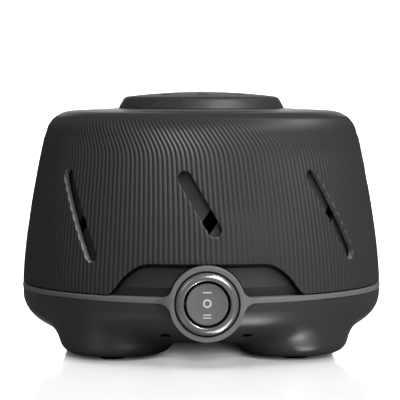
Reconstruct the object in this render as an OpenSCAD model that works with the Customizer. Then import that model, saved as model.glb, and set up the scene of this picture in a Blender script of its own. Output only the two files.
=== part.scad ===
// Fan-type white noise sound machine: a squat round housing on four lobed feet.
// A shaded-pole motor hangs from a steel plate and turns a fan inside a slotted
// housing. A ribbed outer collar with slanted slots turns around that housing,
// a cap turns on top of it, and a round three-position rocker sits in a trim ring.
// Millimetres, +Z up, origin on the floor under the axis, front towards -Y.

/* [Overall] */
// Outer radius of the trim band, the widest circle of the machine
band_r = 73; // [72.5:0.1:73.5]
// Height of the base rim, where the trim band starts
rim_z = 25; // [24.8:0.1:25.2]
// Height of the trim band
band_h = 2.2; // [2:0.1:2.3]

/* [Collar] */
// Wall thickness of the turning collar
collar_wall = 2.4; // [2:0.1:2.6]
// Number of sound slots around the collar
slot_count = 8; // [8:8:8]
// Width of one sound slot
slot_w = 5.5; // [5:0.1:5.8]
// Lean of the sound slots from upright, in degrees
slot_lean = 30; // [28:0.5:32]

/* [Inner housing] */
// Radial step from the collar's outer face to the inner housing's outer face
inner_step = 3.2; // [3.2:0.1:3.5]
// Wall thickness of the inner housing
inner_wall = 2; // [1.8:0.1:2.2]
// Width of one inner slot
inner_slot_w = 4.8; // [4.4:0.1:5]
// Lean of the inner slots from upright, in degrees
inner_lean = 35; // [33:0.5:37]

/* [Switch] */
// Height of the switch centre
switch_z = 25.1; // [25:0.1:25.2]
// Outer radius of the trim ring around the switch
ring_r = 14.5; // [14.4:0.1:14.6]
// Outer radius of the glossy bezel
bezel_r = 11.9; // [11.85:0.05:11.95]
// Radius of the rocker
rocker_r = 8.1; // [8:0.05:8.15]

/* [Base] */
// Wall thickness of the base shell
base_wall = 2.4; // [2.2:0.1:2.6]
// Distance of each foot lobe's axis from the centre planes
lobe_xy = 34.7; // [34.5:0.1:35]
// Radius of a foot lobe
lobe_r = 21.5; // [21:0.1:21.5]
// Distance of each rubber foot from the centre planes
foot_xy = 36; // [35.8:0.1:36.2]

/* [Fan] */
// Radius of the fan wheel
fan_r = 44; // [40:0.5:46]
// Number of fan blades
blade_count = 12; // [8:1:14]

/* [Hidden] */
$fn = 96;

e = 0.01;                       // small overrun for cuts
collar_z0 = rim_z + band_h + 0.5;   // lower edge of the collar
sh_c = [52.2, collar_z0 + 58.7];    // centre of the collar's shoulder ellipse
sh_a = 11.2;                    // shoulder half-width
sh_b = 10.3;                    // shoulder half-height
top_slope = 0.0495;             // fall of the collar's flat top
neck_r = 29.2;                  // neck of the inner housing, inside the collar's top opening
mouth_r = 30;                   // collar's top opening
cap_r = 33.8;                   // cap at its lower edge
cap_z0 = collar_z0 + 70.4;      // lower edge of the cap
cap_z1 = 104.3;                 // crown of the cap
bowl_c = [52, rim_z - 2];       // centre of the base bowl's ellipse
bowl_a = 20.8;
bowl_b = 15;
lobe_z0 = 2.5;                  // underside of a lobe
lobe_round = 6.5;               // rounding of a lobe's lower edge
shaft_r = 1.58;
plate_z = 46;                   // underside of the motor plate
column_a = 22.5;                // first plate column's angle
column_d = 53.5;                // plate columns' distance from the axis

// Radius of the collar's side at height z
function side_r(z) = band_r - 0.2 - 0.0196 * pow(max(0, z - collar_z0), 1.5);
// Side and shoulder of the collar, moved inward by d
function side_pts(d, z0) = [for (i = [0:9]) let (z = z0 + (sh_c[1] + 0.6 - z0) * i / 9) [side_r(z) - d, z]];
function shoulder_pts(d) = [for (a = [14:12.5:89]) [sh_c[0] + (sh_a - d) * cos(a), sh_c[1] + (sh_b - d) * sin(a)]];
function top_z(r, d) = sh_c[1] + sh_b - d + top_slope * (sh_c[0] - r);
function reversed(p) = [for (i = [len(p) - 1:-1:0]) p[i]];
// Bowl of the base, moved inward by d
function bowl_pts(d) = [for (a = [0:11.25:90]) [bowl_c[0] + (bowl_a - d) * cos(a), bowl_c[1] - (bowl_b - d) * sin(a)]];
// Lower edge of a lobe, moved inward by d
function lobe_pts(d) = [for (a = [0:15:90]) [lobe_r - lobe_round + (lobe_round - d) * sin(a), lobe_z0 + lobe_round - (lobe_round - d) * cos(a)]];
// Crown of the cap at radius r, moved down by d
function crown_z(r, d) = cap_z1 - d - 1.87 * pow(r / 30.1, 2);
// Stadium outline of width w and centre distance l, upright
function stadium(w, l) = concat([for (a = [0:15:180]) [w / 2 * cos(a), l / 2 + w / 2 * sin(a)]],
                                [for (a = [180:15:360]) [w / 2 * cos(a), -l / 2 + w / 2 * sin(a)]]);
// Outline of the collar's notch, right half, from its plateau down to the collar's edge
notch_half = concat([[22.2, collar_z0 + 12.4]],
                    [for (a = [75:-15:15]) [22.2 + 10 * cos(a), collar_z0 + 4 + 8.4 * sin(a)]],
                    [[33.2, collar_z0 + 3.4], [34.6, collar_z0 + 1.6], [37.2, collar_z0 - 1]]);
fillet_r = 4.3;                 // fillets between the trim band and its ring
up_c = [sqrt(pow(ring_r + fillet_r, 2) - pow(rim_z + band_h + fillet_r - switch_z, 2)), rim_z + band_h + fillet_r];
dn_c = [sqrt(pow(ring_r + fillet_r, 2) - pow(rim_z - fillet_r - switch_z, 2)), rim_z - fillet_r];
up_a = atan2(switch_z - up_c[1], -up_c[0]) + 360;   // direction from a fillet centre to the ring centre
dn_a = atan2(switch_z - dn_c[1], -dn_c[0]);
flare_half = concat([[0, switch_z]],
                    [for (i = [0.5:5.5]) up_c + fillet_r * [cos(up_a + (270 - up_a) * i / 6), sin(up_a + (270 - up_a) * i / 6)]],
                    [[up_c[0] + 0.2, rim_z + band_h - 0.15], [dn_c[0] + 0.2, rim_z + 0.15]],
                    [for (i = [0.5:5.5]) dn_c + fillet_r * [cos(90 + (dn_a - 90) * i / 6), sin(90 + (dn_a - 90) * i / 6)]]);

// The flare's lower half with a small gap, for the cut in the base rim
flare_gap = concat([[0, rim_z - 6], [0, rim_z + 1], [dn_c[0] + 0.6, rim_z + 1]],
                   [for (i = [0.5:5.5]) dn_c + (fillet_r - 0.1) * [cos(90 + (dn_a - 90) * i / 6), sin(90 + (dn_a - 90) * i / 6)]]);
gland_z = 17;                   // height of the cord gland

module mirror_x() { children(); mirror([1, 0, 0]) children(); }
module four(xy) { for (sx = [-1, 1], sy = [-1, 1]) translate([sx * xy, sy * xy, 0]) children(); }
module columns() { for (k = [0:3]) rotate([0, 0, column_a + 90 * k]) translate([column_d, 0, 0]) children(); }
// Lies along Y from y0 to y1 at the switch's centre
module along_y(y0, y1, r, z) { translate([0, y0, z]) rotate([-90, 0, 0]) cylinder(r = r, h = y1 - y0); }
// Prism that cuts one stadium slot through a wall at the front
module slot_cut(w, l, lean, zc, x0) {
  translate([x0, -50, zc]) rotate([90, 0, 0]) linear_extrude(height = 30) rotate(lean) polygon(stadium(w, l));
}
// Ring of arc ports, cut upwards
module ports(r, w, first, span, z0, h) {
  for (k = [0:7]) rotate([0, 0, first + 45 * k - span / 2])
    rotate_extrude(angle = span) translate([r - w / 2, z0]) square([w, h]);
}

module base_shell() color([0.17, 0.17, 0.175]) {
  difference() {
    union() {
      difference() {
        union() {
          rotate_extrude() polygon(concat([[0, bowl_c[1] - bowl_b]], reversed(bowl_pts(0)), [[bowl_c[0] + bowl_a, rim_z], [0, rim_z]]));
          four(lobe_xy) rotate_extrude() polygon(concat([[0, lobe_z0]], lobe_pts(0), [[lobe_r, 17], [0, 17]]));
          along_y(60, 71.3, 7.4, gland_z);
        }
        difference() {
          union() {
            rotate_extrude() polygon(concat([[0, bowl_c[1] - bowl_b + base_wall]], reversed(bowl_pts(base_wall)), [[bowl_c[0] + bowl_a - base_wall, rim_z + 1], [0, rim_z + 1]]));
            four(lobe_xy) rotate_extrude() polygon(concat([[0, lobe_z0 + base_wall]], lobe_pts(base_wall), [[lobe_r - base_wall, 19], [0, 19]]));
          }
          four(foot_xy) translate([0, 0, 2]) cylinder(r = 6, h = rim_z - 1 - 2);
        }
      }
      // seat of the cord gland
      along_y(66.4, 70, 7.4, gland_z);
    }
    four(foot_xy) { translate([0, 0, 1]) cylinder(r = 3.6, h = 9.5); translate([0, 0, 1]) cylinder(r = 1.9, h = 40); }
    along_y(-90, -50, ring_r + 0.2, switch_z);
    translate([0, -60, 0]) rotate([90, 0, 0]) linear_extrude(height = 20) mirror_x() polygon(flare_gap);
    along_y(50, 90, 4.7, gland_z);
    along_y(50, 66.4, 6.4, gland_z);
    along_y(71.3, 90, 6.6, gland_z);
    for (k = [0:3], s = [-1, 1]) rotate([0, 0, 90 * k + s * 13.6]) translate([-2.25, -80, 11.4]) cube([4.5, 25, 1.6]);
  }
}

module trim_band() color([0.36, 0.36, 0.37]) difference() {
  union() {
    rotate_extrude() polygon([[68.3, rim_z], [band_r - 0.3, rim_z], [band_r, rim_z + 0.3], [band_r, rim_z + band_h - 0.3], [band_r - 0.3, rim_z + band_h], [68.3, rim_z + band_h]]);
    along_y(-74, -63, ring_r, switch_z);
    intersection() {
      translate([0, -60, 0]) rotate([90, 0, 0]) linear_extrude(height = 16) mirror_x() polygon(flare_half);
      difference() { cylinder(r = band_r, h = 60); translate([0, 0, -1]) cylinder(r = 69.2, h = 62); }
    }
  }
  along_y(-80, -72.2, bezel_r + 0.55, switch_z);
  along_y(-80, -50, 9.8, switch_z);
}

module inner_housing() color([0.15, 0.15, 0.155]) {
  difference() {
    union() {
      difference() {
        rotate_extrude() polygon(concat(
          [[0, rim_z + band_h], [68.7, rim_z + band_h], [69.5, rim_z + band_h + 3.6]],
          side_pts(inner_step, 40), shoulder_pts(inner_step),
          [[neck_r, top_z(neck_r, inner_step)], [neck_r, crown_z(neck_r, 2.5)], [20, crown_z(20, 2.5)], [10, crown_z(10, 2.5)], [0, crown_z(3, 2.5)]]));
        rotate_extrude() polygon(concat(
          [[0, rim_z + band_h - 1], [66.6, rim_z + band_h - 1], [67.3, rim_z + band_h + 3.6]],
          side_pts(inner_step + inner_wall, 40), shoulder_pts(inner_step + inner_wall),
          [[neck_r - inner_wall, top_z(neck_r, inner_step + inner_wall)], [neck_r - inner_wall, crown_z(neck_r, 4.5)], [20, crown_z(20, 4.5)], [10, crown_z(10, 4.5)], [0, crown_z(3, 4.5)]]));
      }
      // boss that carries the cap's pivot pin
      translate([0, 0, 93]) cylinder(r = 5.5, h = crown_z(5.5, 3) - 93);
      // columns that carry the motor plate, joined to the shoulder
      intersection() {
        columns() union() {
          translate([0, 0, 50]) cylinder(r = 4, h = 50);
          translate([1, -1, 52]) cube([12, 2, 45]);
        }
        rotate_extrude() polygon(concat([[0, 30], [69, 30]], side_pts(inner_step + 1, 40), shoulder_pts(inner_step + 1), [[0, top_z(30, inner_step + 1)]]));
      }
      // bosses for the housing screws, joined to the wall
      intersection() {
        four(foot_xy) union() {
          translate([0, 0, rim_z - 1]) cylinder(r = 5, h = 17);
        }
        cylinder(r = 67, h = 60);
      }
      intersection() {
        for (k = [0:3]) rotate([0, 0, 45 + 90 * k]) translate([50, -1, rim_z + band_h + 1]) cube([20, 2, 12.8]);
        rotate_extrude() polygon(concat([[0, 27], [67.6, 27], [68.4, rim_z + band_h + 3.6]], side_pts(inner_step + 1, 40), [[0, 60]]));
      }
    }
    for (k = [0:slot_count - 1]) rotate([0, 0, 45 * k]) slot_cut(inner_slot_w, 28, -inner_lean, 55, 0.9);
    four(foot_xy) translate([0, 0, rim_z - 2]) cylinder(r = 1.75, h = 14);
    columns() translate([0, 0, 49]) cylinder(r = 1.5, h = 16);
    along_y(-90, -50, ring_r + 0.3, switch_z);
    translate([0, 0, 90]) cylinder(r = 3.1, h = 20);
    ports(14, 2.4, 22.5, 20, 98, 10);
    ports(21.5, 2.4, 22.5, 14, 98, 10);
  }
}

module collar() color([0.2, 0.2, 0.205]) difference() {
  rotate_extrude() polygon(concat(
    side_pts(0, collar_z0), shoulder_pts(0), [[mouth_r, top_z(mouth_r, 0)], [mouth_r, top_z(mouth_r, collar_wall)]],
    reversed(shoulder_pts(collar_wall)), reversed(side_pts(collar_wall, collar_z0))));
  for (k = [1:slot_count - 1]) rotate([0, 0, 45 * k]) slot_cut(slot_w, 34.4, slot_lean, 57.2, 0.2);
  slot_cut(slot_w, 22.6, slot_lean, 62.35, -2.6);
  translate([0, -50, 0]) rotate([90, 0, 0]) linear_extrude(height = 40)
    polygon(concat(notch_half, reversed([for (p = notch_half) [-p[0], p[1]]])));
}

module cap() color([0.2, 0.2, 0.205]) difference() {
  union() {
    rotate_extrude() polygon(concat(
      [[31.5, cap_z0], [cap_r, cap_z0], [32.3, cap_z0 + 2.7], [31.7, cap_z0 + 3.55], [31, cap_z0 + 4.05]],
      [for (r = [30:-6:6]) [r, crown_z(r, 0)]], [[0, cap_z1], [0, crown_z(0, 2)]],
      [for (r = [6:6:24]) [r, crown_z(r, 2)]], [[29.8, crown_z(29.8, 2)], [30.3, cap_z0 + 2.2]]));
    translate([0, 0, 91]) cylinder(r = 3, h = 12);
  }
  ports(14, 2.4, 0, 20, 98, 10);
  ports(21.5, 2.4, 0, 14, 98, 10);
  translate([0, 0, 91.4]) difference() { cylinder(r = 5, h = 1); translate([0, 0, -1]) cylinder(r = 2.5, h = 3); }
}

module cap_clip() color("silver") translate([0, 0, 91.4]) difference() {
  cylinder(r = 5.2, h = 1);
  translate([0, 0, -1]) cylinder(r = 2.5, h = 3);
}

module slip_ring() color([0.75, 0.75, 0.72]) rotate_extrude()
  polygon([[30.5, top_z(30.5, inner_step) + 0.04], [37, top_z(37, inner_step) + 0.04], [37, top_z(37, inner_step) + 0.54], [30.5, top_z(30.5, inner_step) + 0.54]]);

module switch_bezel() color([0.3, 0.3, 0.31]) difference() {
  translate([0, 0, switch_z]) rotate([90, 0, 0]) rotate_extrude()
    polygon(concat([[8.9, 69], [9.7, 69], [9.7, 72.3], [bezel_r, 72.3]],
      [for (a = [0:20:180]) [(bezel_r + 8.9) / 2 + (bezel_r - 8.9) / 2 * cos(a), 73.9 + 1.5 * sin(a)]]));
  translate([-11, -71, switch_z]) rotate([0, 90, 0]) cylinder(r = 1.1, h = 22);
}

module switch_body() color([0.08, 0.08, 0.08]) difference() {
  along_y(-69, -54, 9.7, switch_z);
  along_y(-71, -64, 8.9, switch_z);
}

module switch_terminals() color("goldenrod") for (x = [-6, 0, 6])
  translate([x - 0.4, -54, switch_z - 2.4]) cube([0.8, 7.5, 4.8]);

module rocker() color([0.38, 0.38, 0.39]) {
  translate([0, 0, switch_z]) rotate([90, 0, 0]) rotate_extrude()
    polygon([[0, 68.5], [7.2, 68.5], [7.9, 70.5], [rocker_r, 72.5], [rocker_r, 74.1], [rocker_r - 0.3, 74.4], [5.5, 74.05], [2.5, 73.85], [1, 73.8], [0, 73.8]]);
  translate([-2.5, -68.8, switch_z - 4]) cube([5, 3.2, 8]);
  // pivot pins
  translate([-9.4, -71, switch_z]) rotate([0, 90, 0]) cylinder(r = 1, h = 18.8);
}

module rubber_feet() color([0.03, 0.03, 0.03]) four(foot_xy) { cylinder(r = 5, h = lobe_z0); cylinder(r = 3.5, h = 6); }

module housing_screws() color("silver") four(foot_xy) translate([0, 0, 10.5]) difference() {
  union() { translate([0, 0, -2.5]) cylinder(r = 3.1, h = 2.5); cylinder(r = 1.75, h = 23); }
  translate([0, 0, -2.6]) { translate([-2, -0.45, 0]) cube([4, 0.9, 1.3]); translate([-0.45, -2, 0]) cube([0.9, 4, 1.3]); }
}

module cord_gland() color([0.05, 0.05, 0.05]) difference() {
  union() {
    along_y(66, 75, 4.6, gland_z);
    translate([0, 71.4, gland_z]) rotate([-90, 0, 0]) rotate_extrude() polygon([[0, 0], [6.4, 0], [6.4, 1.2], [5.2, 4], [0, 4]]);
    along_y(64, 66.3, 6.2, gland_z);
  }
  along_y(60, 80, 3.1, gland_z);
}

module motor_plate() color([0.7, 0.71, 0.72]) difference() {
  translate([0, 0, plate_z]) cylinder(r = 60, h = 1.5);
  translate([0, 0, plate_z - 1]) cylinder(r = 9, h = 4);
  columns() translate([0, 0, plate_z - 1]) cylinder(r = 4.2, h = 4);
  for (s = [-1, 1]) translate([21 * s, 0, plate_z - 1]) cylinder(r = 1.7, h = 4);
  for (k = [0:5]) rotate([0, 0, 60 * k + 30]) translate([30, 0, plate_z - 1]) cylinder(r = 7, h = 4);
}

module plate_grommets() color([0.05, 0.05, 0.05]) columns() difference() {
  union() {
    translate([0, 0, plate_z - 2.5]) cylinder(r = 6, h = 2.5);
    translate([0, 0, plate_z - 1]) cylinder(r = 4.2, h = 4);
    translate([0, 0, plate_z + 1.5]) cylinder(r = 6, h = 2.5);
  }
  translate([0, 0, plate_z - 5]) cylinder(r = 2, h = 12);
}

module plate_screws() color("silver") columns() difference() {
  union() { translate([0, 0, plate_z - 5.2]) cylinder(r = 4.4, h = 2.7); translate([0, 0, plate_z - 3]) cylinder(r = 1.5, h = 18); }
  translate([0, 0, plate_z - 5.3]) { translate([-2.4, -0.5, 0]) cube([4.8, 1, 1.4]); translate([-0.5, -2.4, 0]) cube([1, 4.8, 1.4]); }
}

module stator_core() color([0.55, 0.56, 0.58]) difference() {
  translate([-26, -16, 24]) cube([52, 54, 14]);
  translate([-16, 16, 20]) cube([32, 12, 22]);
  translate([0, 0, 20]) cylinder(r = 11.35, h = 22);
  for (s = [-1, 1]) {
    translate([21 * s, 0, 20]) cylinder(r = 1.7, h = 22);
    translate([s * 8, s * -12.6, 20]) cylinder(r = 1.05, h = 22);
    translate([s * 14.5, s * -12.6, 20]) cylinder(r = 1.05, h = 22);
  }
  for (s = [-1, 1]) translate([-0.5, s * 13.5 - 3, 20]) cube([1, 6, 22]);
}

module coil_bobbin() color([0.9, 0.88, 0.8]) difference() {
  union() {
    translate([-14, 27, 23]) cube([28, 12, 16]);
    for (x = [-14, 12.8]) translate([x, 20.5, 17]) cube([1.2, 25, 28]);
  }
  translate([-20, 28, 24]) cube([40, 10, 14]);
}

module coil_winding() color([0.72, 0.45, 0.2]) difference() {
  translate([-12.8, 21.5, 18]) cube([25.6, 23, 26]);
  translate([-20, 27, 23]) cube([40, 12, 16]);
}

module shading_loops() color([0.75, 0.42, 0.2]) for (s = [-1, 1]) {
  for (x = [8, 14.5]) translate([s * x, s * -12.6, 23]) cylinder(r = 1, h = 16);
  for (z = [22.2, 38.1]) translate([s * 11.25 - 4.25, s * -12.6 - 1, z]) cube([8.5, 2, 1.7]);
}

// One bearing bracket; its feet lie on the plane z = 0 and it bulges upwards
module bracket(cup_h) difference() {
  union() {
    for (s = [-1, 1]) translate([s * 21 - 5, -5, 0]) cube([10, 10, 1.5]);
    for (s = [-1, 1]) translate([s * 16.75 - 0.75, -5, 0]) cube([1.5, 10, 6.5]);
    translate([-17.5, -5, 5]) cube([35, 10, 1.5]);
    translate([0, 0, 5]) cylinder(r = 6, h = cup_h);
  }
  translate([0, 0, -1]) cylinder(r = 4, h = 30);
  for (s = [-1, 1]) translate([21 * s, 0, -1]) cylinder(r = 1.7, h = 4);
}
module upper_bracket() color([0.75, 0.76, 0.78]) translate([0, 0, 38]) bracket(5.5);
module lower_bracket() color([0.75, 0.76, 0.78]) translate([0, 0, 24]) mirror([0, 0, 1]) bracket(5.5);

module bearings() color([0.7, 0.55, 0.3]) for (z = [13.5, 43]) translate([0, 0, z]) difference() {
  cylinder(r = 4, h = 5.5);
  translate([0, 0, -1]) cylinder(r = 1.62, h = 8);
}

module motor_screws() color("silver") for (s = [-1, 1]) translate([21 * s, 0, 20.5]) {
  cylinder(r = 3, h = 2);
  translate([0, 0, 1]) cylinder(r = 1.6, h = 28);
}
module motor_spacers() color("silver") for (s = [-1, 1]) translate([21 * s, 0, 39.5]) difference() {
  cylinder(r = 3.4, h = plate_z - 39.5);
  translate([0, 0, -1]) cylinder(r = 1.7, h = 10);
}
module motor_nuts() color("silver") for (s = [-1, 1]) translate([21 * s, 0, plate_z + 1.5]) difference() {
  cylinder(r = 3.2, h = 2, $fn = 6);
  translate([0, 0, -1]) cylinder(r = 1.6, h = 4);
}

// Two speed leads run from the coil to the switch and a common lead to its connector
function spline(p, n) = concat([for (i = [0:len(p) - 2], j = [0:n - 1]) let (
    t = j / n, a = p[max(0, i - 1)], b = p[i], c = p[i + 1], d = p[min(len(p) - 1, i + 2)])
    0.5 * (2 * b + (c - a) * t + (2 * a - 5 * b + 4 * c - d) * t * t + (3 * b - a - 3 * c + d) * t * t * t)], [p[len(p) - 1]]);
function unit(v) = v / norm(v);
function ring(q, i, r, n) = let (
    d = unit(q[min(len(q) - 1, i + 1)] - q[max(0, i - 1)]), u = unit(cross(d, [1, 1, 1])), v = cross(d, u))
    [for (k = [0:n - 1]) q[i] + r * (u * cos(360 * k / n) + v * sin(360 * k / n))];
module lead(p, r = 0.9, n = 8) {
  q = spline(p, 3);
  m = len(q);
  polyhedron(points = [for (i = [0:m - 1]) each ring(q, i, r, n)],
    faces = concat([[for (k = [0:n - 1]) k]],
      [for (i = [0:m - 2], k = [0:n - 1]) [i * n + k, (i + 1) * n + k, (i + 1) * n + (k + 1) % n, i * n + (k + 1) % n]],
      [[for (k = [n - 1:-1:0]) (m - 1) * n + k]]));
}
module motor_leads() color([0.85, 0.1, 0.1]) {
  lead([[-9, 30, 18.6], [-9, 29.5, 14.5], [-16, 22, 13], [-23, 6, 13], [-23, -24, 13], [-14, -37, 16], [-7, -43, 22], [-6, -47.2, 25.1]]);
  lead([[9, 30, 18.6], [9, 29.5, 14.5], [16, 22, 13], [23, 6, 13], [23, -24, 13], [14, -37, 16], [7, -43, 22], [6, -47.2, 25.1]]);
  lead([[0, 36, 18.6], [0, 37.5, 15], [0, 41, 13.5], [0, 43.8, 13.5]]);
}
module wire_connector() color([0.85, 0.82, 0.7]) translate([0, 44, 13.5]) rotate([-90, 0, 0]) difference() {
  union() { cylinder(r = 2.4, h = 9); translate([0, 0, 9]) cylinder(r1 = 2.4, r2 = 1.8, h = 2); }
  translate([0, 0, 8]) cylinder(r = 1.4, h = 5);
}

module shaft() color("silver") translate([0, 0, 13.6]) cylinder(r = shaft_r, h = 65.4);
module rotor_core() color([0.6, 0.6, 0.62]) translate([0, 0, 24]) difference() {
  union() { cylinder(r = 11, h = 14); translate([0, 0, -1.5]) cylinder(r = 10, h = 17); }
  translate([0, 0, -3]) cylinder(r = shaft_r, h = 20);
}
module thrust_washers() color([0.8, 0.7, 0.5]) for (z = [19.5, 41.6]) translate([0, 0, z]) difference() {
  cylinder(r = 3, h = 1);
  translate([0, 0, -1]) cylinder(r = shaft_r, h = 3);
}
module fan_wheel() color([0.88, 0.88, 0.86]) difference() {
  union() {
    translate([0, 0, 51.5]) cylinder(r = 6, h = 19);
    translate([0, 0, 52]) cylinder(r = fan_r, h = 1.6);
    for (k = [0:blade_count - 1]) rotate([0, 0, 360 / blade_count * k])
      translate([5, -0.7, 52]) cube([fan_r - 5.5, 1.4, 18]);
  }
  translate([0, 0, 50]) cylinder(r = shaft_r, h = 30);
}

base_shell();
trim_band();
inner_housing();
collar();
cap();
cap_clip();
slip_ring();
switch_bezel();
switch_body();
switch_terminals();
rocker();
rubber_feet();
housing_screws();
cord_gland();
motor_plate();
plate_grommets();
plate_screws();
stator_core();
coil_bobbin();
coil_winding();
shading_loops();
lower_bracket();
upper_bracket();
bearings();
motor_screws();
motor_spacers();
motor_nuts();
motor_leads();
wire_connector();
shaft();
rotor_core();
thrust_washers();
fan_wheel();
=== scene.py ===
import math

import bpy
import numpy as np
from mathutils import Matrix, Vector


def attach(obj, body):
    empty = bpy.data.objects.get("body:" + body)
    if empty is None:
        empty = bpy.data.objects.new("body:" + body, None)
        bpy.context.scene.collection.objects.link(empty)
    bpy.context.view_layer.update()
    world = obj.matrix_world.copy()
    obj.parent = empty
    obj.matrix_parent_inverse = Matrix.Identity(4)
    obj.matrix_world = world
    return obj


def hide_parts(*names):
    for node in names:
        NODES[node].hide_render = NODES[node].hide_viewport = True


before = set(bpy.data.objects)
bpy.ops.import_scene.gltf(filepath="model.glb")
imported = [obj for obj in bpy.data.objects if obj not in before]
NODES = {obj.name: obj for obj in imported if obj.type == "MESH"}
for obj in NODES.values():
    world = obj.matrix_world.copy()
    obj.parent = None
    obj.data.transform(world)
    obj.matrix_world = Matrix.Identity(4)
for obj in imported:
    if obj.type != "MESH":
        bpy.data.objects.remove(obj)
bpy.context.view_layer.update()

MM = 0.001

# ---------------------------------------------------------------- shape of the machine, in millimetres
BAND_R = 73.0
RIM_Z = 25.0
BAND_H = 2.2
COLLAR_Z0 = 27.7
SH_R, SH_Z, SH_A, SH_B = 52.2, 86.4, 11.2, 10.3
MOUTH_R = 30.0
SWITCH_Z = 25.1
RIBS = 224
RIB_DEPTH = 0.34


def side_r(z):
    return BAND_R - 0.2 - 0.0196 * np.maximum(0.0, np.asarray(z, float) - COLLAR_Z0) ** 1.5


def top_z(r, d=0.0):
    return SH_Z + SH_B - d + 0.0495 * (SH_R - r)


# ---------------------------------------------------------------- mesh helpers
def make(name, verts, faces, materials=(), smooth=True, sharp=None):
    """A mesh object from millimetre vertices."""
    me = bpy.data.meshes.new(name)
    v = (np.asarray(verts, float) * MM).tolist()
    me.from_pydata(v, [], [list(map(int, f)) for f in faces])
    me.validate()
    me.polygons.foreach_set("use_smooth", [smooth] * len(me.polygons))
    if sharp is not None:
        me.set_sharp_from_angle(angle=math.radians(sharp))
    me.update()
    ob = bpy.data.objects.new(name, me)
    bpy.context.scene.collection.objects.link(ob)
    for m in materials:
        me.materials.append(m)
    return ob


def revolved(profile, n, axis="z", centre=(0, 0, 0), phase=0.0):
    """Vertices and faces of a closed profile of (radius, height) turned about an axis. A radius of 0 closes to one point."""
    p = [(float(a), float(b)) for a, b in profile]
    ang = phase + np.arange(n) * 2 * math.pi / n
    verts, rings = [], []
    for r, h in p:
        if r < 1e-9:
            rings.append([len(verts)] * n)
            verts.append((0, 0, h))
        else:
            base = len(verts)
            rings.append([base + i for i in range(n)])
            verts.extend(zip(r * np.cos(ang), r * np.sin(ang), [h] * n))
    faces = []
    m = len(p)
    for j in range(m):
        a, b = rings[j], rings[(j + 1) % m]
        if a[0] == a[-1] and b[0] == b[-1]:
            continue
        for i in range(n):
            k = (i + 1) % n
            if a[0] == a[-1]:
                faces.append((a[0], b[k], b[i]))
            elif b[0] == b[-1]:
                faces.append((a[i], a[k], b[0]))
            else:
                faces.append((a[i], a[k], b[k], b[i]))
    v = np.array(verts, float)
    if axis == "-y":  # the profile's height runs towards -Y
        v = np.column_stack([v[:, 0], -v[:, 2], v[:, 1]])
    elif axis == "y":
        v = np.column_stack([-v[:, 0], v[:, 2], v[:, 1]])
    return v + np.array(centre, float), faces


def rounded(points, radii, steps=4):
    """A closed polyline with each corner rounded to its radius."""
    pts = [np.array(p, float) for p in points]
    out = []
    n = len(pts)
    for i, p in enumerate(pts):
        r = radii[i]
        a, b = pts[i - 1], pts[(i + 1) % n]
        if r <= 0:
            out.append(tuple(p))
            continue
        u, w = (a - p) / np.linalg.norm(a - p), (b - p) / np.linalg.norm(b - p)
        cosang = float(np.clip(u @ w, -1, 1))
        half = math.acos(cosang) / 2
        d = r / math.tan(half)
        c = p + (u + w) / np.linalg.norm(u + w) * (r / math.sin(half))
        s, e = p + u * d, p + w * d
        a0 = math.atan2(*(s - c)[::-1])
        a1 = math.atan2(*(e - c)[::-1])
        da = (a1 - a0 + math.pi) % (2 * math.pi) - math.pi
        for k in range(steps + 1):
            t = a0 + da * k / steps
            out.append((c[0] + r * math.cos(t), c[1] + r * math.sin(t)))
    return out


def outward(verts, faces):
    """Faces turned so that the closed mesh's volume is positive."""
    v = np.asarray(verts, float)
    vol = 0.0
    for f in faces:
        a = v[f[0]]
        for i in range(1, len(f) - 1):
            vol += float(np.dot(a, np.cross(v[f[i]], v[f[i + 1]])))
    return faces if vol > 0 else [tuple(reversed(f)) for f in faces]


def joined(parts):
    """Several (verts, faces) as one."""
    verts, faces, base = [], [], 0
    for v, f in parts:
        v = np.asarray(v, float)
        verts.append(v)
        faces.extend(tuple(i + base for i in g) for g in f)
        base += len(v)
    return np.vstack(verts), faces


def boolean(ob, parts, operation="DIFFERENCE", index=0):
    """Applies one exact cut or union with closed meshes to ob; the cut faces take material index."""
    v, f = joined([(v, outward(v, f)) for v, f in parts])
    tool = make("tool", v, f)
    for m in ob.data.materials:
        tool.data.materials.append(m)
    tool.data.polygons.foreach_set("material_index", [index] * len(tool.data.polygons))
    mod = ob.modifiers.new("b", "BOOLEAN")
    mod.operation = operation
    mod.object = tool
    mod.solver = "MANIFOLD"
    bpy.context.view_layer.update()
    dg = bpy.context.evaluated_depsgraph_get()
    done = bpy.data.meshes.new_from_object(ob.evaluated_get(dg))
    ob.modifiers.clear()
    old = ob.data
    name = old.name
    ob.data = done
    bpy.data.meshes.remove(old)
    done.name = name
    tool_mesh = tool.data
    bpy.data.objects.remove(tool)
    bpy.data.meshes.remove(tool_mesh)
    return ob


def finish_shade(ob, sharp=38):
    me = ob.data
    me.polygons.foreach_set("use_smooth", [True] * len(me.polygons))
    me.set_sharp_from_angle(angle=math.radians(sharp))
    me.update()
    return ob


def stadium(w, l, lean, zc, x0, n=12):
    """Outline of a slot in the (x, z) plane, counter-clockwise, leaning from upright."""
    p = [(w / 2 * math.cos(a), l / 2 + w / 2 * math.sin(a)) for a in np.linspace(0, math.pi, n)]
    for t in np.linspace(l / 2, -l / 2, 14)[1:-1]:
        p.append((-w / 2, t))
    p += [(w / 2 * math.cos(a), -l / 2 + w / 2 * math.sin(a)) for a in np.linspace(math.pi, 2 * math.pi, n)]
    for t in np.linspace(-l / 2, l / 2, 14)[1:-1]:
        p.append((w / 2, t))
    c, s = math.cos(math.radians(lean)), math.sin(math.radians(lean))
    return np.array([(x0 + c * x - s * z, zc + s * x + c * z) for x, z in p])


def outline_normals(p):
    d = np.roll(p, -1, 0) - np.roll(p, 1, 0)
    d /= np.linalg.norm(d, axis=1)[:, None]
    return np.column_stack([d[:, 1], -d[:, 0]])  # outward of a counter-clockwise outline


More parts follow.
